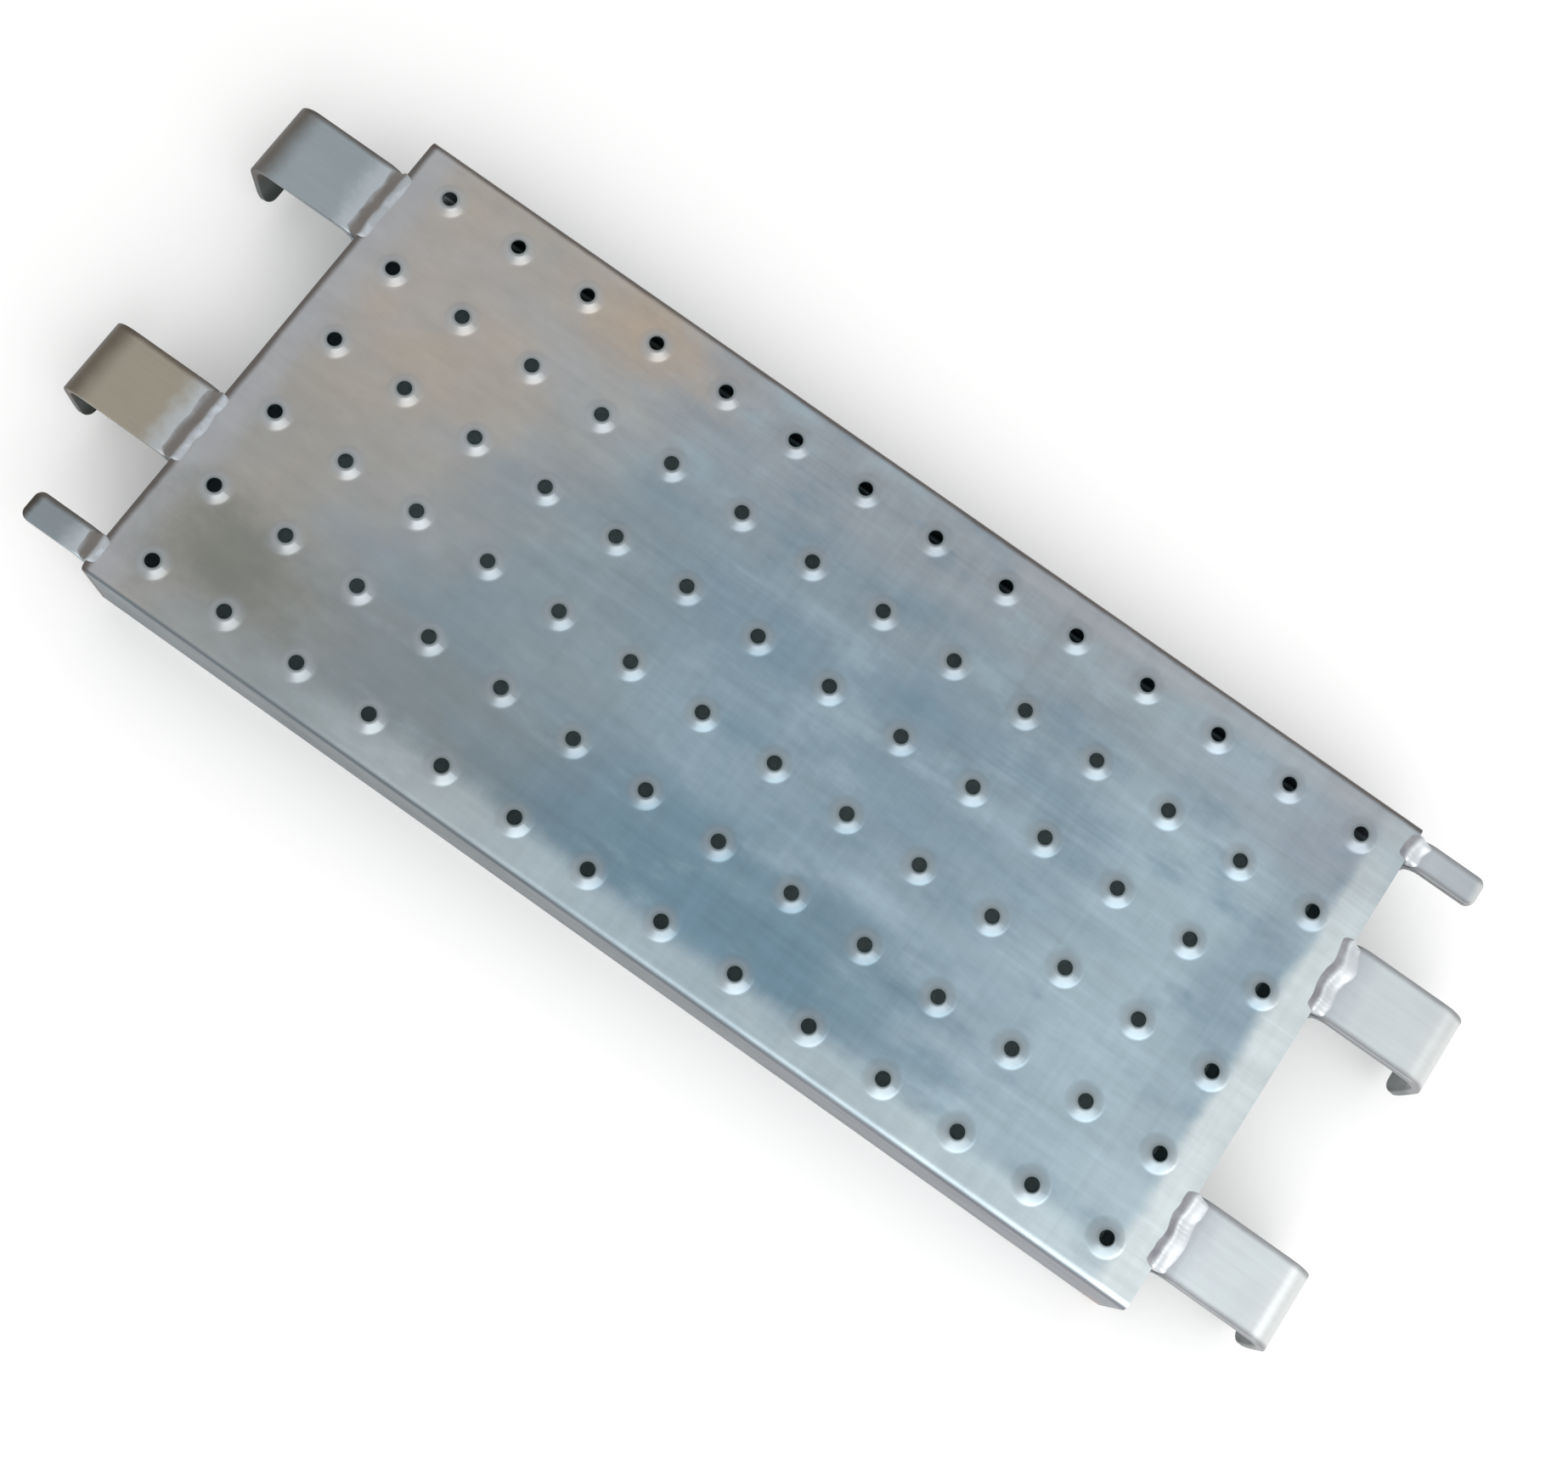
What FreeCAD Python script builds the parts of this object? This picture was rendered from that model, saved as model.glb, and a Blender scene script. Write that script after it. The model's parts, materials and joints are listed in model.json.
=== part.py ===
import FreeCAD, Part
import math
import os
from FreeCAD import Vector

# A steel scaffold plank that hooks over a tube at each end. All sizes are in mm.
# X runs along the plank, Y across it, Z up; the plank lies on its bottom lips at Z = 0.
# A turn of half a circle about Z brings one end onto the other, so one end is built and copied.

# The bay the plank spans and the tube it hangs on
bay_length = 600.0
tube_diameter = 48.3
tube_play = 2.85
tube_back_gap = 1.85

# Deck: one roll-formed sheet
deck_width = 250.0
deck_depth = 50.0
deck_gauge = 1.5
deck_bend = 2.5
lip_width = 22.0
lip_return = 9.0

# Raised holes, punched upwards in a square-set grid
hole_pitch_along = 38.0
hole_pitch_across = 42.0
hole_end_margin = 23.0
hole_side_margin = 20.0
hole_diameter = 6.6
collar_base = 17.0
collar_crown = 8.4
collar_height = 2.5
collar_root_bend = 3.0
collar_crown_bend = 2.0

# Hooks and support lugs, bent from flat bar
hook_gauge = 4.0
hook_width = 38.0
hook_drop = 1.5
hook_edge_margin = 20.5
hook_pass_gap = 2.0
hook_root_bend = 6.0
hook_nose_bend = 8.0
hook_curl = 22.0
hook_back_leg = 34.0
hook_tip_corner = 6.0
lug_width = 14.5
lug_inset = 3.5
lug_reach = 36.0
lug_corner = 4.0
bar_edge = 0.8

# End plates and the cross rib
plate_gauge = 2.0
plate_flange = 14.0
plate_bend = 2.0
rib_gauge = 1.5
rib_width = 20.0
rib_depth = 22.0
rib_bend = 2.0
fit_gap = 0.3

# Weld beads along the roots of the hooks and lugs
bead_lap = 4.5
bead_rise = 1.6
bead_climb = 45.0

# Sizes that follow from those above
tube_radius = tube_diameter / 2
tube_standoff = hook_gauge + tube_back_gap + tube_radius
deck_length = bay_length - 2 * tube_standoff
hook_top = deck_depth - hook_drop
hook_reach = tube_standoff + tube_radius + tube_play + hook_gauge
tube_height = hook_top - hook_gauge - tube_radius
outer_hook_y = deck_width / 2 - hook_edge_margin - hook_width / 2
inner_hook_y = outer_hook_y - hook_width - hook_pass_gap
lug_y = deck_width / 2 - lug_inset - lug_width / 2
sheet_underside = deck_depth - deck_gauge
collar_slope = math.atan2(collar_height, (collar_base - collar_crown) / 2)


def turn_at(before, corner, after):
    """Directions of the two runs at a corner, and the signed angle between them."""
    first = (corner - before).normalize()
    second = (after - corner).normalize()
    cross = first.x * second.y - first.y * second.x
    return first, second, math.atan2(cross, first.dot(second))


def one_side(path, radii, gauge, offset):
    """One face of a bent strip as edges: the path moved to its left by offset, with round corners."""
    points = []
    for number, corner in enumerate(path):
        before = path[number - 1] if number > 0 else corner - (path[1] - corner)
        after = path[number + 1] if number < len(path) - 1 else corner + (corner - path[number - 1])
        first, second, angle = turn_at(before, corner, after)
        left = Vector(-first.y - second.y, first.x + second.x, 0)
        points.append((corner + left * (offset / (1 + first.dot(second))), first, second, angle))
    edges = []
    start = points[0][0]
    for (corner, first, second, angle), radius in zip(points[1:-1], radii):
        outside = (angle > 0) == (offset == 0)
        bend = radius + gauge if outside else radius
        reach = bend * math.tan(abs(angle) / 2)
        arc_start = corner - first * reach
        arc_end = corner + second * reach
        toward = (second - first).normalize()
        middle = corner + toward * (bend / math.cos(angle / 2) - bend)
        edges.append(Part.LineSegment(start, arc_start).toShape())
        edges.append(Part.Arc(arc_start, middle, arc_end).toShape())
        start = arc_end
    edges.append(Part.LineSegment(start, points[-1][0]).toShape())
    return edges, points[0][0], points[-1][0]


def bent_strip(path, radii, gauge, length):
    """A strip bent along a path, its thickness to the path's left, drawn out by length and centred."""
    path = [Vector(across, up, 0) for across, up in path]
    near, near_start, near_end = one_side(path, radii, gauge, 0)
    far, far_start, far_end = one_side(path, radii, gauge, gauge)
    ends = [Part.LineSegment(near_end, far_end).toShape(), Part.LineSegment(far_start, near_start).toShape()]
    outline = Part.Wire(Part.__sortEdges__(near + far + ends))
    solid = Part.Face(outline).extrude(Vector(0, 0, length))
    solid.translate(Vector(0, 0, -length / 2))
    return solid


def stand_across(solid):
    """Turn a strip drawn in (x, z) so that its length runs along Y."""
    solid.rotate(Vector(0, 0, 0), Vector(1, 0, 0), 90)
    return solid


def other_end(solid):
    """The same piece at the other end of the plank."""
    turned = solid.copy()
    turned.rotate(Vector(0, 0, 0), Vector(0, 0, 1), 180)
    return turned


def spread(span, pitch):
    """Evenly pitched positions, as many as the span holds, centred on zero."""
    count = int(span / pitch + 1e-6) + 1
    return [(number - (count - 1) / 2) * pitch for number in range(count)]


def outline(steps):
    """A closed face in the (x, z) plane from corner points; an arc is written as its middle and its end."""
    edges = []
    here = Vector(steps[0][0], 0, steps[0][1])
    for step in steps[1:] + steps[:1]:
        there = Vector(step[-2], 0, step[-1])
        if len(step) == 4:
            edges.append(Part.Arc(here, Vector(step[0], 0, step[1]), there).toShape())
        else:
            edges.append(Part.LineSegment(here, there).toShape())
        here = there
    return Part.Face(Part.Wire(edges))


def revolved(steps):
    """A solid turned about Z from the same steps, read as radius and height."""
    return outline(steps).revolve(Vector(0, 0, 0), Vector(0, 0, 1), 360)


def turned_off(radius, angle):
    """How far an arc has gone along its first direction and away from it after an angle."""
    return radius * math.sin(angle), radius * (1 - math.cos(angle))


def make_collar():
    """The raised ring of a hole: a cone pressed up from the sheet, hollow at its root, round at its crown."""
    crown = deck_depth + collar_height
    half = collar_slope / 2
    root_x = collar_base / 2 + collar_root_bend * math.tan(half)
    crown_x = collar_crown / 2 - collar_crown_bend * math.tan(half)
    root_middle = turned_off(collar_root_bend, half)
    root_end = turned_off(collar_root_bend, collar_slope)
    crown_start = turned_off(collar_crown_bend, collar_slope)
    crown_middle = turned_off(collar_crown_bend, half)
    return revolved([
        (0, deck_depth - deck_gauge / 2),
        (root_x, deck_depth - deck_gauge / 2),
        (root_x, deck_depth),
        (root_x - root_middle[0], deck_depth + root_middle[1], root_x - root_end[0], deck_depth + root_end[1]),
        (crown_x + crown_start[0], crown - crown_start[1]),
        (crown_x + crown_middle[0], crown - crown_middle[1], crown_x, crown),
        (0, crown),
    ])


def make_punch():
    """What a hole takes away: its bore, and from below the cone that leaves the collar as thick as the sheet."""
    bore = hole_diameter / 2
    crown = deck_depth + collar_height
    wall = deck_gauge / math.cos(collar_slope)
    mouth = collar_base / 2 - (wall - deck_gauge) / math.tan(collar_slope)
    throat = deck_depth - wall + (collar_base / 2 - bore) * math.tan(collar_slope)
    return revolved([
        (0, sheet_underside - 1),
        (mouth, sheet_underside - 1),
        (mouth, sheet_underside),
        (bore, throat),
        (bore, crown + 1),
        (0, crown + 1),
    ])


def make_deck():
    """The roll-formed sheet: top, walls, lips and returns, with the raised holes punched in it."""
    half = deck_width / 2
    path = [
        (half - lip_width, lip_return),
        (half - lip_width, 0),
        (half, 0),
        (half, deck_depth),
        (-half, deck_depth),
        (-half, 0),
        (lip_width - half, 0),
        (lip_width - half, lip_return),
    ]
    sheet = bent_strip(path, [deck_bend] * 6, deck_gauge, deck_length)
    sheet.rotate(Vector(0, 0, 0), Vector(1, 0, 0), 90)
    sheet.rotate(Vector(0, 0, 0), Vector(0, 0, 1), 90)

    collar = make_collar()
    punch = make_punch()
    places = []
    for x in spread(deck_length - 2 * hole_end_margin, hole_pitch_along):
        for y in spread(deck_width - 2 * hole_side_margin, hole_pitch_across):
            places.append(Vector(x, y, 0))
    collars = [collar.translated(place) for place in places]
    punches = [punch.translated(place) for place in places]
    return sheet.fuse(collars).cut(punches).removeSplitter()


def make_end_plate():
    """The channel that closes the +X end, notched to clear the returns of the bottom lips."""
    end = deck_length / 2
    foot = deck_gauge + fit_gap
    path = [
        (end - plate_flange, foot),
        (end, foot),
        (end, sheet_underside),
        (end - plate_flange, sheet_underside),
    ]
    width = deck_width - 2 * (deck_gauge + fit_gap)
    plate = stand_across(bent_strip(path, [plate_bend] * 2, plate_gauge, width))
    corner = deck_gauge + deck_bend
    notch_width = lip_width + fit_gap
    notch_height = lip_return + fit_gap
    for side in (-1, 1):
        middle = side * (deck_width - notch_width) / 2
        notch = Part.makeBox(plate_flange + 2, notch_width, notch_height)
        notch.translate(Vector(end - plate_flange - 1, middle - notch_width / 2, 0))
        shoulder = Part.makeBox(plate_flange + 2, corner, corner)
        shoulder_y = side * (deck_width / 2 - corner / 2) - corner / 2
        shoulder.translate(Vector(end - plate_flange - 1, shoulder_y, deck_depth - corner))
        plate = plate.cut(notch).cut(shoulder)
    return plate


def make_rib():
    """The channel under the middle of the deck, between two columns of holes."""
    width = deck_width - 2 * (deck_gauge + deck_bend + fit_gap)
    path = [
        (rib_width / 2, sheet_underside - rib_depth),
        (rib_width / 2, sheet_underside),
        (-rib_width / 2, sheet_underside),
        (-rib_width / 2, sheet_underside - rib_depth),
    ]
    return stand_across(bent_strip(path, [rib_bend] * 2, rib_gauge, width))


def round_bar(solid, direction, corner, width):
    """Round the corners of a bar's free end, which looks in a direction, and the long edges of its sides."""
    facing = [face for face in solid.Faces if face.normalAt(0, 0).dot(direction) > 0.99]
    end = max(facing, key=lambda face: face.CenterOfMass.dot(direction))
    corners = [edge for edge in end.Edges if abs(edge.Length - hook_gauge) < 0.01]
    solid = solid.makeFillet(corner, corners)
    sides = [face for face in solid.Faces if abs(abs(face.CenterOfMass.y) - width / 2) < 0.01]
    return solid.makeFillet(bar_edge, [edge for face in sides for edge in face.Edges])


def make_hook(y):
    """A flat bar bent down the end plate, over the tube and part of the way round it, at +X."""
    end = deck_length / 2
    curl = math.radians(hook_curl)
    clear = tube_radius + tube_play
    run = (clear + hook_gauge) * math.tan(curl / 2)
    tip_run = run + 1
    elbow = tube_height - run
    path = [
        (end + hook_reach - tip_run * math.sin(curl), elbow - tip_run * math.cos(curl)),
        (end + hook_reach, elbow),
        (end + hook_reach, hook_top),
        (end, hook_top),
        (end, hook_top - hook_back_leg),
    ]
    hook = stand_across(bent_strip(path, [clear, hook_nose_bend, hook_root_bend], hook_gauge, hook_width))
    hook = round_bar(hook, Vector(-math.sin(curl), 0, -math.cos(curl)), hook_tip_corner, hook_width)
    hook.translate(Vector(0, y, 0))
    return hook


def make_lug(y):
    """A narrow bar bent down the end plate and out over the tube, at +X."""
    end = deck_length / 2
    path = [
        (end + lug_reach, hook_top),
        (end, hook_top),
        (end, hook_top - hook_back_leg),
    ]
    lug = stand_across(bent_strip(path, [hook_root_bend], hook_gauge, lug_width))
    lug = round_bar(lug, Vector(1, 0, 0), lug_corner, lug_width)
    lug.translate(Vector(0, y, 0))
    return lug


def make_bead(y, width):
    """The weld that fills the groove between the deck's end and the round root of a bar, at +X."""
    end = deck_length / 2
    bend = hook_root_bend + hook_gauge
    climb = math.radians(bead_climb)
    toe_x = end + bend * (1 - math.cos(climb))
    toe_z = hook_top - bend * (1 - math.sin(climb))
    side_x = end + bend * (1 - math.cos(climb / 2))
    side_z = hook_top - bend * (1 - math.sin(climb / 2))
    face = outline([
        (end, deck_depth),
        (end, hook_top - bend),
        (side_x, side_z, toe_x, toe_z),
        (end, deck_depth + bead_rise, end - bead_lap, deck_depth),
    ])
    bead = face.extrude(Vector(0, width, 0))
    bead.translate(Vector(0, y - width / 2, 0))
    return bead


os.makedirs("parts", exist_ok=True)

right_end = {
    "end_plate": make_end_plate(),
    "hook_outer": make_hook(-outer_hook_y),
    "hook_inner": make_hook(inner_hook_y),
    "lug": make_lug(lug_y),
    "bead_outer": make_bead(-outer_hook_y, hook_width),
    "bead_inner": make_bead(inner_hook_y, hook_width),
    "bead_lug": make_bead(lug_y, lug_width),
}

pieces = {"deck": make_deck(), "cross_rib": make_rib()}
for name, solid in right_end.items():
    pieces[name + "_right"] = solid
    pieces[name + "_left"] = other_end(solid)

for name, solid in pieces.items():
    print(name, len(solid.Solids), "solid", round(solid.Volume / 1000, 2), "cm3", solid.isValid())
    solid.exportStep("parts/" + name + ".step")
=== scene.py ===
# %% [markdown]
# # A steel scaffold plank
#
# The plank is a short galvanised deck with raised drain holes. Two bent hooks and a narrow support
# lug at each end hang it on a scaffold tube, and a weld bead runs along the root of each of them.
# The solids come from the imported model, already at their real size and place, so this lesson is
# about looks: the zinc on the sheet and the bars, the weld beads, the light and the camera.

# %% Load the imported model
import json
import math

import bmesh
import bpy
from mathutils import Matrix, Vector, noise


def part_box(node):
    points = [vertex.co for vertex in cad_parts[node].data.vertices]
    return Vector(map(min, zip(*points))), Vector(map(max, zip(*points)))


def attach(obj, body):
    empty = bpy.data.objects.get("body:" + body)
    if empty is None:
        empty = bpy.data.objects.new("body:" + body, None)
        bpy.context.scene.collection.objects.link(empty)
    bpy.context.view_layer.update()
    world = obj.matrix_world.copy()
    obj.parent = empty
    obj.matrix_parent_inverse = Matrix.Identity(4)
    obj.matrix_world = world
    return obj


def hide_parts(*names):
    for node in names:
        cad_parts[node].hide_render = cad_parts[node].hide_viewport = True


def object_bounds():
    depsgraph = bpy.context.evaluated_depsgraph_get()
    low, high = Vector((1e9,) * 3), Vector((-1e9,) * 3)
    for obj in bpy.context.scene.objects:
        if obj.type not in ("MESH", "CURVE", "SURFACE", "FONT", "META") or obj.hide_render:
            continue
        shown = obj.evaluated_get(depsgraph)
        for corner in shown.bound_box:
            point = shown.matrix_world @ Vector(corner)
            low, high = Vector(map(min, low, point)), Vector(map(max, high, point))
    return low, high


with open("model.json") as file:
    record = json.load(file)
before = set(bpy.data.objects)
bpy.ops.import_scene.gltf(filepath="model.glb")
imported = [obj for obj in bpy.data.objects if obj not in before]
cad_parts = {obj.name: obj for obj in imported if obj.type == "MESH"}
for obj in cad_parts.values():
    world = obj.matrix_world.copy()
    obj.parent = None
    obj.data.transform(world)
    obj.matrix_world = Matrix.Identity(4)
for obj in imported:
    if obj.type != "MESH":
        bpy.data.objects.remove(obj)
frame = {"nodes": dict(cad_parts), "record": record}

cad_low, cad_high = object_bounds()
nodes = frame["nodes"]
print("frame:", len(nodes), "nodes,", [round(1000 * side, 1) for side in cad_high - cad_low], "mm")

# %% [markdown]
# ## Where things are
#
# Every pattern below is laid out in the plank's own frame: X along it, Y across it, Z up, in metres.
# Reading the sizes off the frame keeps the finish in step with the solids. The hole pitch is known
# from the record, which states bolt patterns on the hole grid. The height of the raised holes isn't
# stated there, so it is written out.

# %% Sizes read from the frame
deck_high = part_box("deck")[1]
collar_height = 0.0025
half_length = deck_high.x
half_width = deck_high.y
sheet_top = deck_high.z - collar_height
mounts = {mount["name"]: mount for mount in frame["record"]["mounts"]}
pattern = mounts["bolts_left"]["dims"]
pitch_along = pattern["spacing_x_mm"] / 2000
pitch_across = pattern["spacing_y_mm"] / 1000
bore = pattern["hole_r_mm"] / 1000
print("hole pitch:", pitch_along, "by", pitch_across, "m, bore radius", bore)

# %% [markdown]
# ## Shader maths in plain Python
#
# A procedural finish is mostly arithmetic on masks, and in the node editor each sign is a node of
# its own. A small class that wraps a socket lets us write the sums as sums: each operator adds the
# Math node it stands for. One method makes every other kind of node, settings first, then sockets.

# %% A socket that can be calculated with
class Wire:
    """One output socket of a material's nodes."""

    def __init__(self, tree, socket=None):
        self.tree = tree
        self.socket = socket

    def make(self, kind, settings=None, inputs=None, output=0):
        """Add a node of a kind, set it up, feed its sockets and return one of its outputs."""
        node = self.tree.nodes.new("ShaderNode" + kind)
        for name, value in (settings or {}).items():
            setattr(node, name, value)
        for name, value in (inputs or {}).items():
            if isinstance(value, Wire):
                self.tree.links.new(value.socket, node.inputs[name])
            else:
                node.inputs[name].default_value = value
        return Wire(self.tree, node.outputs[output])

    def output(self, name):
        """Another output of the same node."""
        return Wire(self.tree, self.socket.node.outputs[name])

    def maths(self, operation, first, second=0.0):
        return self.make("Math", {"operation": operation}, {0: first, 1: second})

    def __add__(self, other):
        return self.maths("ADD", self, other)

    def __radd__(self, other):
        return self.maths("ADD", other, self)

    def __sub__(self, other):
        return self.maths("SUBTRACT", self, other)

    def __rsub__(self, other):
        return self.maths("SUBTRACT", other, self)

    def __mul__(self, other):
        return self.maths("MULTIPLY", self, other)

    def __rmul__(self, other):
        return self.maths("MULTIPLY", other, self)

    def __truediv__(self, other):
        return self.maths("DIVIDE", self, other)

    def __pow__(self, power):
        return self.maths("POWER", self, power)

    def __abs__(self):
        return self.maths("ABSOLUTE", self)

    def rise(self, low, high):
        """0 below low, 1 above high and a smooth step between; low may be the larger one."""
        settings = {"interpolation_type": "SMOOTHSTEP"}
        return self.make("MapRange", settings, {"Value": self, "From Min": low, "From Max": high})


# %% Colours
# A Mix node has sockets for numbers, vectors and colours side by side. These are its colours.
mix_first, mix_second, mix_result = 6, 7, 2


def mixed(mask, first, second):
    """A colour that goes from the first to the second as the mask goes from 0 to 1."""
    sockets = {0: mask, mix_first: first, mix_second: second}
    return mask.make("Mix", {"data_type": "RGBA"}, sockets, output=mix_result)


def shaded(colour, factor):
    """A colour made darker or lighter by a factor that may vary over the surface."""
    return factor.make("VectorMath", {"operation": "SCALE"}, {0: colour, "Scale": factor})


def paint(red, green, blue):
    """A colour given on a 0 to 255 scale, as the linear light that shaders work in."""
    def linear(level):
        share = level / 255
        return share / 12.92 if share <= 0.04045 else ((share + 0.055) / 1.055) ** 2.4
    return (linear(red), linear(green), linear(blue), 1.0)


print("a middle grey of 128 is", round(paint(128, 128, 128)[0], 3), "in linear light")

# %% [markdown]
# ## Tools that the finishes share
#
# A finish starts with the object coordinates of the surface, its normal and a Principled shader.
# All our patterns are noise that is stretched in some direction: clouds where the zinc ran thick and
# thin, streaks where the rolls dragged along the sheet, and blotches with soft, ragged borders.

# %% Helpers for masks
class Finish:
    """A material with the wires that its patterns start from."""

    def __init__(self, name):
        self.material = bpy.data.materials.new(name)
        self.material.use_nodes = True
        tree = self.material.node_tree
        self.shader = tree.nodes["Principled BSDF"]
        self.start = Wire(tree)
        self.place = self.start.make("TexCoord", output="Object")
        self.x, self.y, self.z = self.split(self.place)
        self.facing = self.place.output("Normal")

    def split(self, vector):
        """The three parts of a vector."""
        parts = self.start.make("SeparateXYZ", None, {0: vector})
        return [parts.output(axis) for axis in "XYZ"]

    def grain(self, scale, detail=3.0, roughness=0.5, stretch=(1, 1, 1), seed=0.0):
        """Noise around zero, from about -0.5 to 0.5, at a scale per metre, stretched along the axes."""
        mapping = {"Vector": self.place, "Location": (seed, -seed, seed), "Scale": stretch}
        moved = self.start.make("Mapping", None, mapping)
        sockets = {"Vector": moved, "Scale": scale, "Detail": detail, "Roughness": roughness}
        return self.start.make("TexNoise", None, sockets) - 0.5

    def blotch(self, centre, size, ragged, border=0.5):
        """A soft spot on the deck: 1 inside, 0 outside, its border moved about by a ragged noise."""
        along = (self.x - centre[0]) / size[0]
        across = (self.y - centre[1]) / size[1]
        reach = (along * along + across * across) ** 0.5 + ragged
        return reach.rise(1 + border, 1 - border)

    def bumped(self, height, strength=0.5):
        """A normal that follows a height in metres."""
        return self.start.make("Bump", None, {"Strength": strength, "Distance": 1.0, "Height": height})

    def connect(self, **sockets):
        """Feed the shader: a wire is linked, a number is set on the socket itself."""
        for name, value in sockets.items():
            socket = self.shader.inputs[name.replace("_", " ")]
            if isinstance(value, Wire):
                self.start.tree.links.new(value.socket, socket)
            else:
                socket.default_value = value

    def count(self):
        """How many nodes the material has so far."""
        return len(self.material.node_tree.nodes)


# %% [markdown]
# ## The deck's zinc
#
# The deck is the main surface and it isn't one grey. It is warm and brownish at one end, then a
# neutral grey, blue in the middle and paler towards the other end, with soft clouds in the zinc; the
# paleness at that end, which the lamp stands off, is painted reflection. A painted picture could
# show that, but masks in the plank's own coordinates stay crisp close up and need no file. We mix
# them in this order: zinc first, then the painted reflection on the margins, then stains, and last
# the lines, the raised holes and the edges, both with painted shade.

# %% Broad colours of the zinc
zinc_metal = 0.9
zinc_grey = paint(150, 158, 165)
zinc_blue = paint(130, 151, 164)
zinc_deep = paint(111, 138, 154)
zinc_slate = paint(121, 133, 137)
zinc_lilac = paint(149, 155, 166)
zinc_pale = paint(160, 180, 190)
zinc_tan = paint(168, 163, 156)
zinc_ash = paint(164, 164, 164)
zinc_dove = paint(142, 146, 148)
zinc_dusk = paint(148, 148, 144)
margin_reflection_pale = paint(207, 216, 218)


def zinc_clouds(finish):
    """The deck's broad colours, from its warm end over the blue middle to its pale end."""
    x, y = finish.x, finish.y
    clouds = finish.grain(9, 4, 0.55)
    wisps = finish.grain(20, 4, 0.6, (0.4, 1.5, 1), seed=3.1)
    cold = (y + 0.10 * wisps).rise(0.11, 0.03)
    colour = mixed(cold, zinc_grey, zinc_blue)
    deep = (y + 0.09 * wisps).rise(-0.025, -0.085) * (x + 0.20 * clouds).rise(0.19, 0.09)
    colour = mixed(deep, colour, mixed(x.rise(-0.18, 0.02), zinc_slate, zinc_deep))
    # Paler towards the right end, which the lamp stands off: painted reflection, held back near the
    # end.
    pale = (x + 0.24 * wisps + 0.12 * clouds).rise(0.09, 0.22)
    reflection_gap = (abs(x - 0.240) + 0.03 * wisps).rise(0.026, 0.006) * y.rise(-0.10, 0.0)
    colour = mixed(pale * (1 - 0.65 * reflection_gap), colour, zinc_pale)
    # A faint painted highlight near the near corner of that end.
    near_corner = finish.blotch((0.250, -0.075), (0.026, 0.050), clouds, 0.8)
    colour = mixed(0.15 * near_corner, colour, margin_reflection_pale)
    band = (abs(y + 0.028) + 0.06 * wisps).rise(0.030, 0.005) * x.rise(-0.16, -0.04)
    colour = mixed(0.30 * band, colour, zinc_pale)
    corner = finish.blotch((0.225, 0.092), (0.050, 0.024), 1.5 * clouds, 0.8)
    colour = mixed(0.55 * corner, colour, zinc_lilac)
    thick = finish.grain(26, 4, 0.6, (0.7, 1.3, 1), seed=15.8)
    colour = mixed(0.55 * thick.rise(0.0, 0.22), colour, zinc_pale)
    colour = mixed(0.55 * thick.rise(0.0, -0.22), colour, zinc_deep)
    neutral = (x + 0.08 * wisps).rise(-0.02, -0.09) * (y + 0.05 * clouds).rise(0.07, 0.03)
    colour = mixed(0.40 * neutral, colour, zinc_dove)
    patches = finish.grain(16, 3, 0.55, seed=12.5).rise(-0.10, 0.12)
    warm = (x - 0.45 * y + 0.12 * clouds + 0.06 * wisps).rise(-0.115, -0.205)
    warm_zinc = mixed(patches, zinc_ash, zinc_tan)
    warm_zinc = mixed(0.5 * y.rise(0.06, -0.03), warm_zinc, zinc_dusk)
    return mixed(warm, colour, warm_zinc)


deck_zinc = Finish("galvanised_sheet_deck")
deck_colour = zinc_clouds(deck_zinc)
print("deck with its clouds:", deck_zinc.count(), "nodes")

# %% Margins
margin_reflection_lilac = paint(165, 168, 173)


def deck_margins(finish, colour, ragged):
    """The strips between the field of holes and the edges, which fall away a little."""
    x, y = finish.x, finish.y
    right = x.rise(0.0, 0.1)
    end_gap = half_length - abs(x) + 0.010 * ragged
    end_right = end_gap.rise(0.0205, 0.0125) * right * y.rise(0.16, 0.04)
    end_left = end_gap.rise(0.0220, 0.0080) * (1 - right)
    side_near = (half_width + y + 0.010 * ragged).rise(0.0250, 0.0110)
    side_far = (half_width - y + 0.010 * ragged).rise(0.0200, 0.0080) * right
    # Their paler and lilac tones are painted reflection of the light they tilt towards.
    colour = mixed(0.6 * side_far, colour, margin_reflection_lilac)
    colour = mixed(0.44 * side_near * x.rise(-0.27, -0.02), colour, margin_reflection_pale)
    colour = mixed(0.7 * end_left, colour, margin_reflection_lilac)
    return mixed(0.92 * end_right, colour, margin_reflection_pale)


deck_ragged = deck_zinc.grain(38, 4, 0.6, seed=7.7)
deck_colour = deck_margins(deck_zinc, deck_colour, deck_ragged)
print("deck with its margins:", deck_zinc.count(), "nodes")

# %% Stains
stain_ochre = paint(180, 161, 140)
stain_olive = paint(118, 121, 115)


def deck_stains(finish, colour, ragged):
    """Old dirt at the warm end."""
    ochre = finish.blotch((-0.135, 0.106), (0.036, 0.016), 1.8 * ragged, 0.7)
    tan = finish.blotch((-0.224, 0.058), (0.030, 0.036), 2.0 * ragged, 0.8)
    olive = finish.blotch((-0.222, -0.086), (0.036, 0.022), 2.0 * ragged, 0.8)
    colour = mixed(0.55 * ochre, colour, stain_ochre)
    colour = mixed(0.20 * tan, colour, stain_ochre)
    return mixed(0.80 * olive, colour, stain_olive)


deck_colour = deck_stains(deck_zinc, deck_colour, deck_ragged)
print("deck with its stains:", deck_zinc.count(), "nodes")
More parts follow.
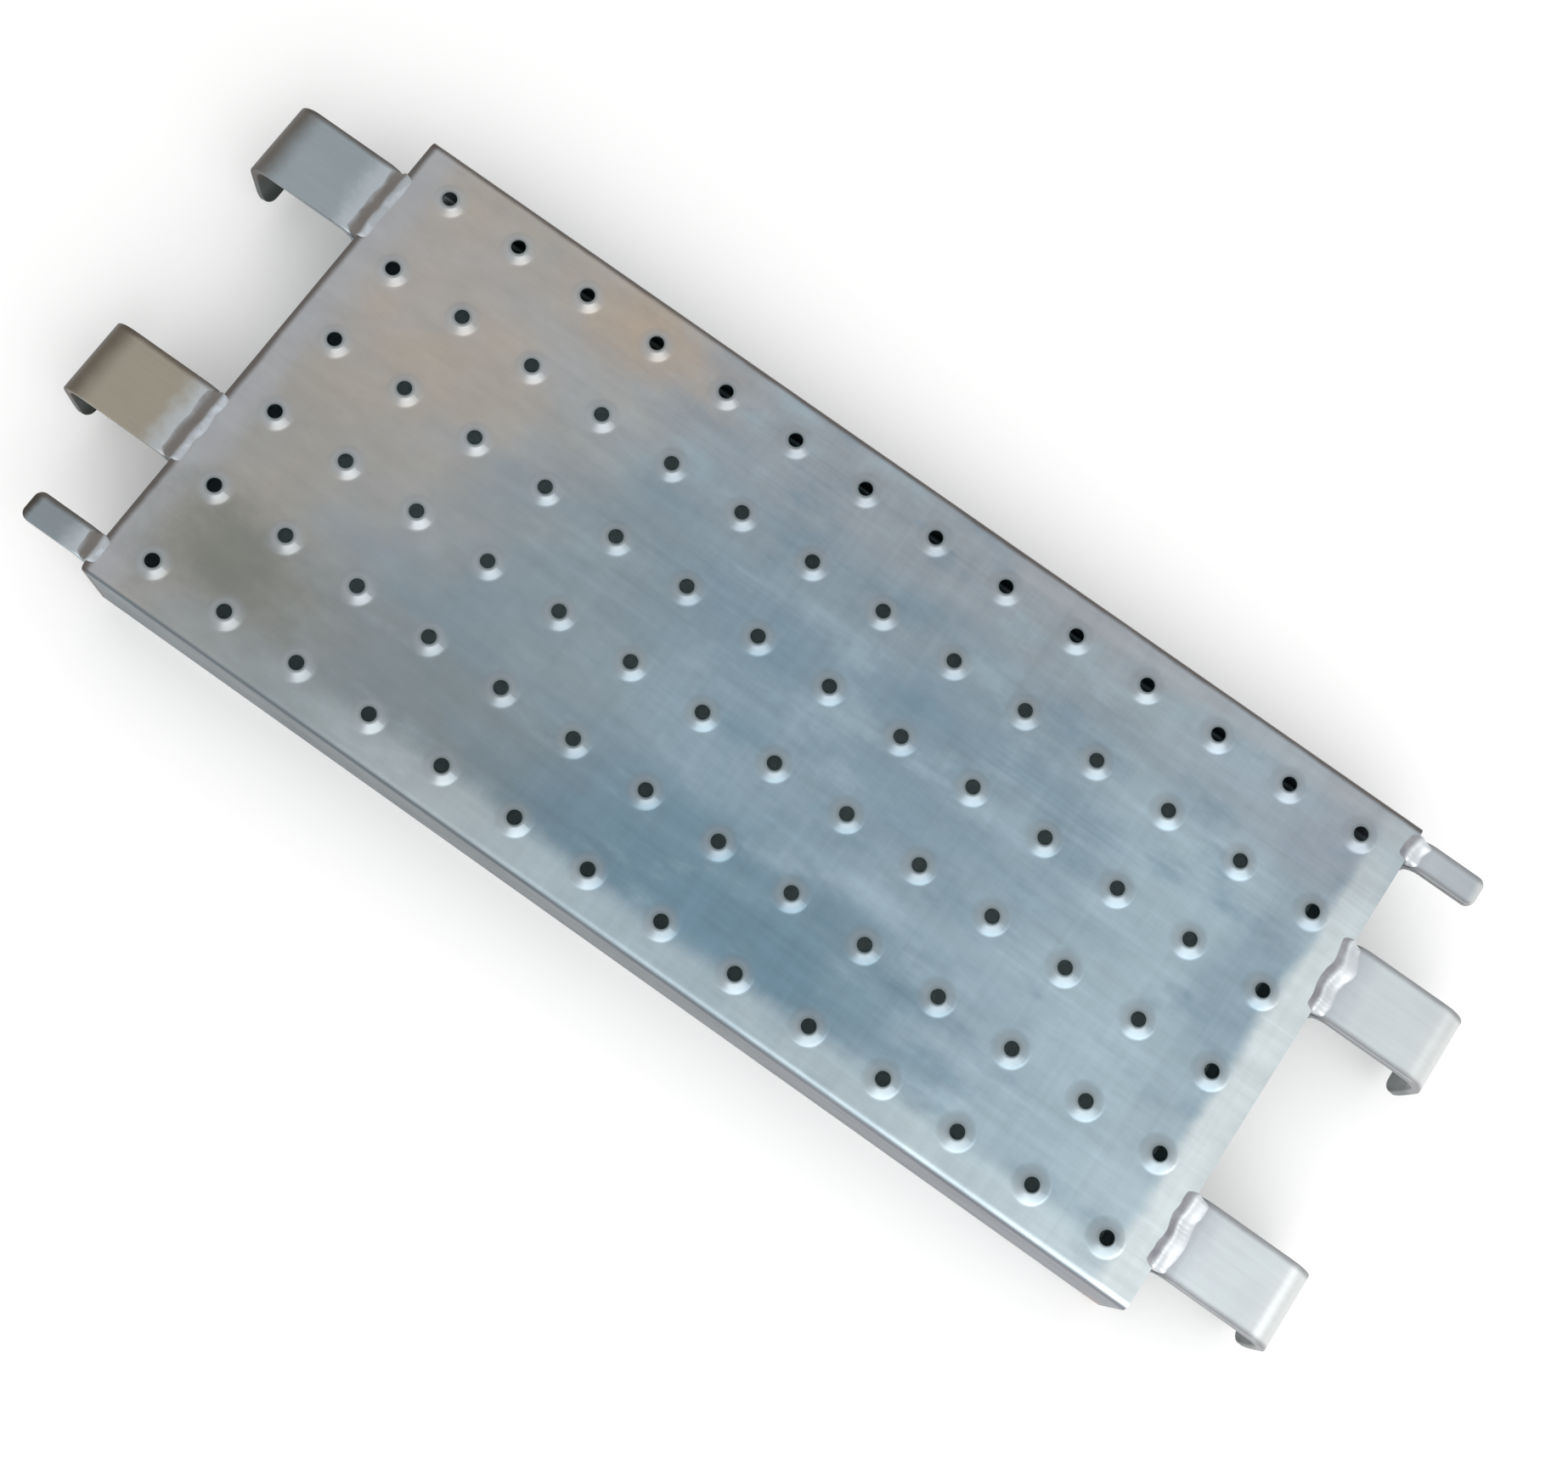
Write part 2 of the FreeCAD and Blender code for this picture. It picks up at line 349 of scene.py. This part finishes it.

# %% [markdown]
# ## Lines and raised holes
#
# The rolls leave faint lines along the sheet, and handling leaves fainter ones across it: noise that
# is stretched a lot in one direction. The raised holes are in the solids. In the finish they only
# need their own greyer zinc and painted shade on the rim, darker towards the bore, and because the
# holes stand on a grid, the remainder of a division by the pitch tells how far any point is from the
# nearest one.

# %% Lines in the zinc
streaks = deck_zinc.grain(60, 4, 0.65, (0.07, 2.2, 1), seed=1.3)
scratches = deck_zinc.grain(60, 3, 0.7, (0.04, 6.0, 1), seed=21.7)
hatch = deck_zinc.grain(60, 3, 0.6, (3.5, 0.10, 1), seed=5.2)
mottle = deck_zinc.grain(70, 3, 0.6, (0.7, 1.4, 1), seed=4.6)
worn = deck_zinc.grain(15, 3, 0.6, (0.6, 1.4, 1), seed=30.2).rise(-0.05, 0.15)
cool_part = deck_zinc.x.rise(-0.20, 0.0)
lines = (0.14 + 0.16 * cool_part) * streaks + (0.22 * hatch + 0.30 * worn * scratches) * cool_part
deck_colour = shaded(deck_colour, 1 + lines + 0.26 * mottle)
print("deck with its lines:", deck_zinc.count(), "nodes")

# %% Raised holes
collar_grey = paint(150, 156, 160)
collar_ash = paint(164, 170, 175)
hole_shade = paint(84, 98, 98)
collar_foot = 0.0100
collar_crown = 0.0040


def hole_radius(finish):
    """How far a point of the deck is from the middle of the nearest hole."""
    def offset(value, pitch):
        steps = value / pitch
        return (steps.maths("FRACT", steps) - 0.5) * pitch
    return (offset(finish.x, pitch_along) ** 2 + offset(finish.y, pitch_across) ** 2) ** 0.5


def deck_holes(finish, colour):
    """Greyer collars, and painted shade on the rim, darker towards the bore."""
    radius = hole_radius(finish)
    collar_zinc = mixed(finish.x.rise(-0.08, -0.16), collar_grey, collar_ash)
    colour = mixed(0.60 * radius.rise(collar_foot, collar_crown), colour, collar_zinc)
    colour = mixed(0.45 * radius.rise(1.6 * bore, bore), colour, hole_shade)
    return mixed(0.75 * radius.rise(1.12 * bore, bore), colour, hole_shade)


deck_colour = deck_holes(deck_zinc, deck_colour)
print("deck with its holes:", deck_zinc.count(), "nodes")

# %% [markdown]
# ## Walls, bends and underside
#
# The sheet is folded down along both sides. Its walls carry painted shade, darker towards the left
# end, and are scuffed along their length; the far bend and the cut end carry brown painted shade,
# and underneath the zinc is plain. The normal tells wall, top and underside apart, and the distance
# from an edge places the brown, so no face is picked by hand.

# %% Walls, bends and underside
edge_shade_brown = paint(80, 72, 66)
wall_shade_dark = paint(98, 108, 114)
wall_shade_light = paint(128, 132, 139)
under_grey = paint(182, 188, 190)
under_dark = paint(150, 157, 161)
stain_red = paint(172, 146, 138)


def deck_edges(finish, colour, ragged):
    """Walls and bends in painted shade, and the underside."""
    x, y, z = finish.x, finish.y, finish.z
    toward_y, toward_z = finish.split(finish.facing)[1:]
    wall = abs(toward_y).rise(0.55, 0.85) * (half_width - abs(y)).rise(0.004, 0.002)
    rolled = finish.grain(60, 4, 0.65, (0.07, 1, 2.2), seed=9.9)
    scuffs = finish.grain(22, 4, 0.6, (0.6, 1, 1.6), seed=18.4)
    # Painted shade on the walls, darker towards the left end, away from the lamp.
    wall_zinc = mixed((x + 0.3 * scuffs).rise(-0.1, 0.27), wall_shade_dark, wall_shade_light)
    colour = mixed(wall, colour, shaded(wall_zinc, 1 + 0.45 * scuffs + 0.40 * rolled))
    # Brown painted shade along the far bend and the cut left end.
    far_bend = (half_width - y + 0.002 * ragged).rise(0.0044, 0.0016)
    near_top = z.rise(sheet_top - 0.014, sheet_top - 0.004)
    colour = mixed(0.9 * far_bend * near_top, colour, edge_shade_brown)
    left_end = (half_length + x + 0.002 * ragged).rise(0.0042, 0.0012)
    colour = mixed(0.85 * left_end, colour, edge_shade_brown)
    under_zinc = mixed((scuffs + 0.6 * ragged).rise(-0.25, 0.25), under_grey, under_dark)
    return mixed(toward_z.rise(0.0, -0.4), colour, under_zinc)


def corner_rust(finish, colour, ragged):
    """A touch of red at the near corner of the pale end, low on the wall."""
    specks = finish.grain(150, 4, 0.65, seed=14.3)
    border = 3.0 * specks + ragged
    rust = finish.blotch((half_length - 0.001, -half_width), (0.008, 0.004), border, 0.5)
    foot = (finish.z + 0.05 * specks).rise(0.020, 0.008)
    return mixed(0.5 * rust * foot, colour, stain_red)


deck_colour = deck_edges(deck_zinc, deck_colour, deck_ragged)
deck_colour = corner_rust(deck_zinc, deck_colour, deck_ragged)
print("deck with its edges:", deck_zinc.count(), "nodes")

# %% Gloss and relief of the deck
deck_rough = 0.38 + 0.16 * deck_ragged + 0.14 * streaks
deck_height = 0.0006 * deck_zinc.grain(13, 2, 0.4, seed=2.6) + 0.00002 * streaks
deck_normal = deck_zinc.bumped(deck_height)
deck_zinc.connect(Base_Color=deck_colour, Roughness=deck_rough, Normal=deck_normal, Metallic=zinc_metal)
print("deck finish:", deck_zinc.count(), "nodes")

# %% [markdown]
# ## Bars and hidden sheet
#
# The hooks and lugs are flat bar, dipped in the same zinc: paler at the plank's lit end, partly as
# the zinc's own tone and partly as painted light, and greyer at the other. Their long edges carry
# painted shade, and their bends a white painted highlight at the lit end and brown painted shade at
# the other. Beside each weld is a whitish band. Each bar gets a finish of its own, because the
# darkened edges are measured from its own sides. The end plates and the rib are plainer sheet.

# %% Finishes of the bars
bar_blue = paint(146, 156, 161)
bar_tan = paint(153, 147, 134)
bar_pale = paint(199, 207, 210)
lug_pale = paint(177, 185, 190)
lug_blue = paint(134, 143, 148)
bar_root_pale = paint(182, 190, 196)
bend_shade_brown = paint(84, 74, 64)
bend_highlight_white = paint(214, 216, 215)
side_shade_brown = paint(74, 66, 59)
rim_shade_dark = paint(54, 47, 41)
side_shade_grey = paint(130, 131, 134)
tip_dark = paint(64, 74, 72)
tip_grey = paint(104, 109, 109)


def bar_finish(name):
    """Zinc on one flat bar."""
    low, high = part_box(name)
    lit_end = high.x > 0
    reach = max(abs(low.x), abs(high.x))
    middle = (low.y + high.y) / 2
    half_bar = (high.y - low.y) / 2
    is_lug = name.startswith("lug")
    # Paler faces at the lit end: partly the zinc's own tone, partly painted light.
    if is_lug:
        face = lug_pale if lit_end else lug_blue
    elif lit_end:
        face = bar_pale
    else:
        face = bar_tan if "inner" in name else bar_blue
    bend = bend_highlight_white if lit_end else bend_shade_brown
    side = side_shade_grey if lit_end else side_shade_brown
    end = tip_grey if lit_end else tip_dark
    rim_share = 0.0 if lit_end else 1.0

    finish = Finish("galvanised_bar_" + name)
    clouds = finish.grain(28, 4, 0.55)
    ragged = finish.grain(90, 3, 0.6, seed=4.4)
    streaks = finish.grain(120, 3, 0.6, (0.15, 4, 1), seed=8.1)
    past_deck = abs(finish.x) - half_length
    # A whitish band on the bar just past the deck's end.
    root_band = (past_deck + 0.012 * ragged).rise(0.019, 0.009)
    colour = mixed(0.7 * root_band, face, bar_root_pale)
    # The noses: a white painted highlight at the lit end, brown painted shade at the other.
    nose_gap = reach - abs(finish.x) + 0.004 * ragged
    nose = nose_gap.rise(0.005, 0.001) if is_lug else nose_gap.rise(0.018, 0.005)
    colour = mixed(0.85 * nose, colour, bend)
    # The dark rims on the noses and the darker long edges are painted shade.
    rim = rim_share * nose_gap.rise(0.0050, 0.0010)
    colour = mixed(rim, colour, rim_shade_dark)
    across = finish.y - middle
    side_gap = half_bar - (abs(across) if lit_end else across) + 0.0012 * ragged
    edge = side_gap.rise(0.0036, 0.0008)
    colour = mixed(0.85 * edge, colour, side)
    tip = (finish.z + 0.004 * ragged).rise(0.036, 0.028) * past_deck.rise(0.030, 0.045)
    colour = mixed(0.8 * tip, colour, end)
    colour = shaded(colour, 1 + 0.16 * clouds + 0.14 * streaks)

    rough = 0.40 + 0.16 * clouds + 0.12 * streaks
    normal = finish.bumped(0.00025 * clouds + 0.00003 * streaks)
    metal = zinc_metal - 0.6 * rim - 0.25 * edge
    finish.connect(Base_Color=colour, Roughness=rough, Normal=normal, Metallic=metal)
    return finish.material


# %% Finish of the plates
plate_metal = 0.85
plate_grey = paint(138, 146, 150)
plate_dark = paint(108, 114, 118)


def plate_finish():
    """Dull zinc on the end plates and the rib."""
    finish = Finish("galvanised_sheet_plain")
    clouds = finish.grain(18, 4, 0.55, seed=6.3)
    specks = finish.grain(160, 3, 0.6, seed=2.2)
    colour = mixed(clouds.rise(-0.2, 0.2), plate_grey, plate_dark)
    inside = (half_length - abs(finish.x)).rise(0.0025, 0.0060)
    colour = mixed(inside, colour, under_grey)
    colour = shaded(colour, 1 + 0.2 * specks)
    rough = 0.45 + 0.2 * clouds
    normal = finish.bumped(0.0003 * clouds, 0.4)
    finish.connect(Base_Color=colour, Roughness=rough, Normal=normal, Metallic=plate_metal)
    return finish.material


plate_zinc = plate_finish()
print("plate finish:", len(plate_zinc.node_tree.nodes), "nodes")

# %% Finish of the welds
weld_highlight_white = paint(208, 213, 216)
weld_highlight_pale = paint(186, 192, 199)
weld_grey = paint(196, 201, 205)
weld_dull = paint(158, 162, 166)
weld_shade_lilac = paint(132, 131, 138)
weld_shade_brown = paint(122, 117, 112)


def weld_finish():
    """Weld metal under zinc paint, with painted highlight and shade by which way it faces."""
    finish = Finish("weld_metal")
    clouds = finish.grain(140, 3, 0.55, seed=3.9)
    grit = finish.grain(900, 3, 0.6, seed=8.8)
    spots = finish.grain(210, 2, 0.5, seed=16.6).rise(-0.12, 0.12)
    lean = finish.split(finish.facing)[0] + 0.40 * clouds
    left = finish.x.rise(0.1, -0.1)
    colour = mixed(left, weld_grey, weld_dull)
    # Painted highlight on the sides that face the lamp's end, broken into spots at the left end.
    bright = lean.rise(-0.04, 0.34) * (1 - 0.6 * left * (1 - spots))
    colour = mixed(bright, colour, mixed(left, weld_highlight_white, weld_highlight_pale))
    # Painted shade, lilac or brown, on the sides that face away.
    scale = lean.rise(0.06, -0.36)
    colour = mixed(0.9 * scale, colour, mixed(left, weld_shade_lilac, weld_shade_brown))
    colour = shaded(colour, 1 + 0.15 * grit)
    rough = 0.46 + 0.25 * clouds + 0.12 * scale
    finish.connect(Base_Color=colour, Roughness=rough, Metallic=zinc_metal)
    return finish.material


weld_metal = weld_finish()
print("weld finish:", len(weld_metal.node_tree.nodes), "nodes")

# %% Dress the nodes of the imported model
def dress(node, material):
    """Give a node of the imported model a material."""
    node.data.materials.clear()
    node.data.materials.append(material)


for name, node in nodes.items():
    if name == "deck":
        dress(node, deck_zinc.material)
    elif name.startswith(("hook", "lug")):
        dress(node, bar_finish(name))
    elif not name.startswith("bead"):
        dress(node, plate_zinc)
print("dressed:", [name for name in nodes if not name.startswith("bead")])

# %% [markdown]
# ## Weld beads
#
# A weld laid by hand is a low string of overlapping puddles that wanders a little. It fills the
# groove between the deck's edge and the bend of the bar, so its skin runs out flat on both. The
# solids hold a plain bead, so we make a new one in its place. A sphere with its poles turned along
# the weld has just the right net of faces: rings along the bead and a rounded end at each pole. We
# give each ring the section of a fillet and push it about with smooth noise and small ripples.

# %% Sizes of the welds
bar_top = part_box("hook_inner_right")[1].z
root_bend = 0.0100
bead_sides = 36
bead_rings = 130
bead_half_width = 0.0060
bead_rise = 0.0011
bead_depth = 0.0045
bead_toe = 0.0001
bead_end_round = 0.0028
bead_trim = 0.0003
bead_offset = 0.0015
bed_start = -0.3
ripple_pitch = 0.0024
ripple_height = 0.00004
ripple_bow = 0.0014
ripple_drift = 0.8
drift_ripples = 2.5
wander_per_metre = 90
broad_per_metre = 110
fine_per_metre = 290
strength_per_metre = 130
fine_share = 0.25
flank_shift = 0.6
wander_and_lumps = {"right": (0.0018, 0.15), "left": (0.0010, 0.14)}
first_seed = 11.0
seed_step = 7.0
print("bead:", 2000 * bead_half_width, "mm wide and", 1000 * bead_rise, "mm high")

# %% Section of a bead
def bar_skin(past_deck):
    """How high the top of a bar is at a distance from the deck's end, on the bend at its root."""
    short = min(root_bend, max(0.0, root_bend - past_deck))
    return bar_top - root_bend + math.sqrt(root_bend ** 2 - short ** 2)


def eased(value, low, high):
    """A smooth step from 0 at low to 1 at high."""
    share = max(0.0, min(1.0, (value - low) / (high - low)))
    return share * share * (3 - 2 * share)


def bead_point(along, swell, turn, wander, lumps, seed):
    """How far past the deck's end and how high a point of a bead is."""
    stray = wander * noise.noise((along * wander_per_metre, seed, 0.0))
    flank = math.cos(turn)
    broad = noise.noise((along * broad_per_metre, seed, 5.0 + flank_shift * flank))
    fine = noise.noise((along * fine_per_metre, seed, 7.0 + flank_shift * flank))
    puddle = 1 + lumps * (broad + fine_share * fine)
    wave = (along - ripple_bow * flank ** 2) / ripple_pitch
    drift = noise.noise((wave / drift_ripples, seed, 9.0))
    strength = max(0.0, 0.5 + noise.noise((along * strength_per_metre, seed, 13.0)))
    ripple = ripple_height * strength * math.cos(2 * math.pi * (wave + ripple_drift * drift))
    past_deck = bead_offset + stray + bead_half_width * puddle * swell * flank
    bed = sheet_top + eased(flank, bed_start, 1.0) * (bar_skin(past_deck) - sheet_top) - bead_toe
    bulge = math.sin(turn)
    if bulge > 0:
        height = (bead_rise * puddle + ripple) * swell * bulge ** 3
    else:
        height = bead_depth * swell * bulge
    return past_deck, bed + height


print("bar's skin at the middle of a bead:", round(1000 * bar_skin(bead_offset), 2), "mm up")

# %% Lay the weld beads
def lay_bead(name, wander, lumps, seed):
    """A bead where the solid of that name is: its line wanders and its puddles swell."""
    low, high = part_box(name)
    side = 1 if high.x > 0 else -1
    length = high.y - low.y - 2 * bead_trim
    middle = (low.y + high.y) / 2
    mesh = bmesh.new()
    bmesh.ops.create_uvsphere(mesh, u_segments=bead_sides, v_segments=bead_rings, radius=1.0)
    for vertex in mesh.verts:
        turn = math.atan2(vertex.co.y, vertex.co.x)
        share = math.acos(max(-1.0, min(1.0, vertex.co.z))) / math.pi
        along = (share - 0.5) * length
        tip = min(1.0, min(share, 1 - share) * length / bead_end_round)
        swell = math.sqrt(1 - (1 - tip) ** 2)
        past_deck, up = bead_point(along, swell, turn, wander, lumps, seed)
        vertex.co = (side * (half_length + past_deck), middle + along, up)
    bmesh.ops.recalc_face_normals(mesh, faces=mesh.faces)
    data = bpy.data.meshes.new("weld_" + name)
    mesh.to_mesh(data)
    mesh.free()
    data.shade_smooth()
    data.materials.append(weld_metal)
    bead = bpy.data.objects.new("weld_" + name, data)
    bpy.context.scene.collection.objects.link(bead)
    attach(bead, "root")
    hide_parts(name)
    return bead


beads = []
for order, name in enumerate(sorted(name for name in nodes if name.startswith("bead"))):
    wander, lumps = wander_and_lumps["right" if name.endswith("right") else "left"]
    beads.append(lay_bead(name, wander, lumps, first_seed + seed_step * order))
print("beads:", [bead.name for bead in beads])

# %% [markdown]
# ## Floor, light and camera
#
# The photograph shows the plank from above on white, lit from its right end. A plain pale floor
# keeps a soft shadow. An even, white world lights the metal from all sides, so that a colour
# renders about as it is written, and one long, low lamp stands off the right end: it is what the
# flanks of the raised holes and the weld beads mirror. The plank lies on the floor, so hardly any
# light gets under it, and its holes would be black. A dim lamp in the hollow, tinted as light is
# that has bounced about between zinc walls, lights what shows through them.

# %% Floor
floor_white = (0.92, 0.92, 0.915, 1.0)
floor_reach = 12.0
floor_gap = 0.0002
mesh = bmesh.new()
bmesh.ops.create_grid(mesh, x_segments=1, y_segments=1, size=floor_reach)
floor_mesh = bpy.data.meshes.new("floor")
mesh.to_mesh(floor_mesh)
mesh.free()
floor = bpy.data.objects.new("floor", floor_mesh)
floor.location.z = cad_low.z - floor_gap
bpy.context.scene.collection.objects.link(floor)

floor_material = bpy.data.materials.new("pale_floor")
floor_material.use_nodes = True
floor_shader = floor_material.node_tree.nodes["Principled BSDF"]
floor_shader.inputs["Base Color"].default_value = floor_white
floor_shader.inputs["Roughness"].default_value = 1.0
floor_mesh.materials.append(floor_material)
print("floor:", 2 * floor_reach, "m across")

# %% Light
world_strength = 0.92
end_place = (1.35, -1.15, 1.55)
end_width, end_height = 3.2, 1.9
end_power = 33
inner_place = (0.0, 0.0, 0.044)
inner_width, inner_height = 0.53, 0.24
inner_power = 0.009
inner_tint = (0.50, 0.92, 1.0)

world = bpy.data.worlds.new("studio")
bpy.context.scene.world = world
world.use_nodes = True
world_light = world.node_tree.nodes["Background"]
world_light.inputs["Color"].default_value = (1.0, 1.0, 1.0, 1.0)
world_light.inputs["Strength"].default_value = world_strength


def hang_lamp(name, place, width, height, power):
    """A soft lamp that looks towards the middle of the plank, on the floor."""
    data = bpy.data.lights.new(name, "AREA")
    data.shape = "RECTANGLE"
    data.size = width
    data.size_y = height
    data.energy = power
    lamp = bpy.data.objects.new(name, data)
    lamp.location = place
    lamp.rotation_euler = (-Vector(place)).to_track_quat("-Z", "Y").to_euler()
    bpy.context.scene.collection.objects.link(lamp)
    return lamp


end_lamp = hang_lamp("end_lamp", end_place, end_width, end_height, end_power)
inner_lamp = hang_lamp("inner_lamp", inner_place, inner_width, inner_height, inner_power)
inner_lamp.data.color = inner_tint
inner_lamp.visible_camera = False
print("lamps:", [(lamp.name, lamp.data.energy) for lamp in (end_lamp, inner_lamp)])

# %% Camera
scene = bpy.context.scene
stand = Vector((0.0500, -0.2158, 0.9386))
aim = Vector((0.0137, -0.0057, sheet_top))
picture_up = math.radians(124.77)
sensor_width = 36.0
lens = 48.45
forward = (aim - stand).normalized()
right = forward.cross(Vector((math.cos(picture_up), math.sin(picture_up), 0))).normalized()
up = right.cross(forward)
camera_data = bpy.data.cameras.new("camera")
camera_data.sensor_fit = "HORIZONTAL"
camera_data.sensor_width = sensor_width
camera_data.lens = lens
camera = bpy.data.objects.new("camera", camera_data)
camera.matrix_world = Matrix.Translation(stand) @ Matrix((right, up, -forward)).transposed().to_4x4()
scene.collection.objects.link(camera)
scene.camera = camera
scene.view_settings.view_transform = "Standard"
print("camera at", [round(part, 3) for part in stand], "lens", camera_data.lens)
